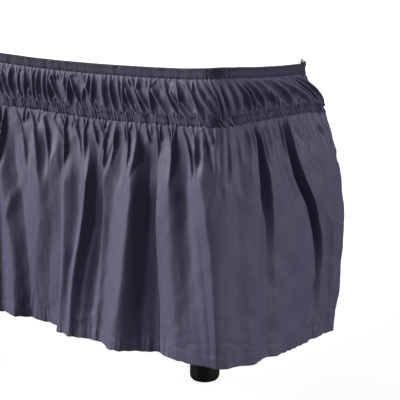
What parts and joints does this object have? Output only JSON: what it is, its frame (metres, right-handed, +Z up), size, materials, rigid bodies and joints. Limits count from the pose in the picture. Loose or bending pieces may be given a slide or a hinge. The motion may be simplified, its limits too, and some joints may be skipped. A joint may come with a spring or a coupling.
{
  "type": "bed skirt on a bed base",
  "caption": "Gathered wrap-around bed skirt with two elastic bands and a hemmed drop, fitted round a plain upholstered bed base on short feet.",
  "frame": {"origin": "on the floor, under the middle of the bed base", "axes": "+Y along the bed towards its head end, +X to the right seen from the foot end, +Z up"},
  "size_m": [1.0525, 1.9721, 0.466],
  "materials": {
    "ticking": "matt woven ivory ticking",
    "microfibre": "brushed slate microfibre with a soft sheen",
    "elastic": "ribbed covered elastic, matt",
    "foot_wood": "dark stained, satin lacquer",
    "pin_white": "glossy white"
  },
  "bodies": {
    "root": {"bed_base": "ticking", "foot_head_left": "foot_wood", "foot_head_right": "foot_wood", "foot_middle_left": "foot_wood", "foot_middle_right": "foot_wood", "foot_foot_left": "foot_wood", "foot_foot_right": "foot_wood", "top_band": "elastic", "heading": "microfibre", "lower_band": "elastic", "drop": "microfibre", "head_end_pin_left": "pin_white", "head_end_pin_right": "pin_white"}
  },
  "joints": []
}
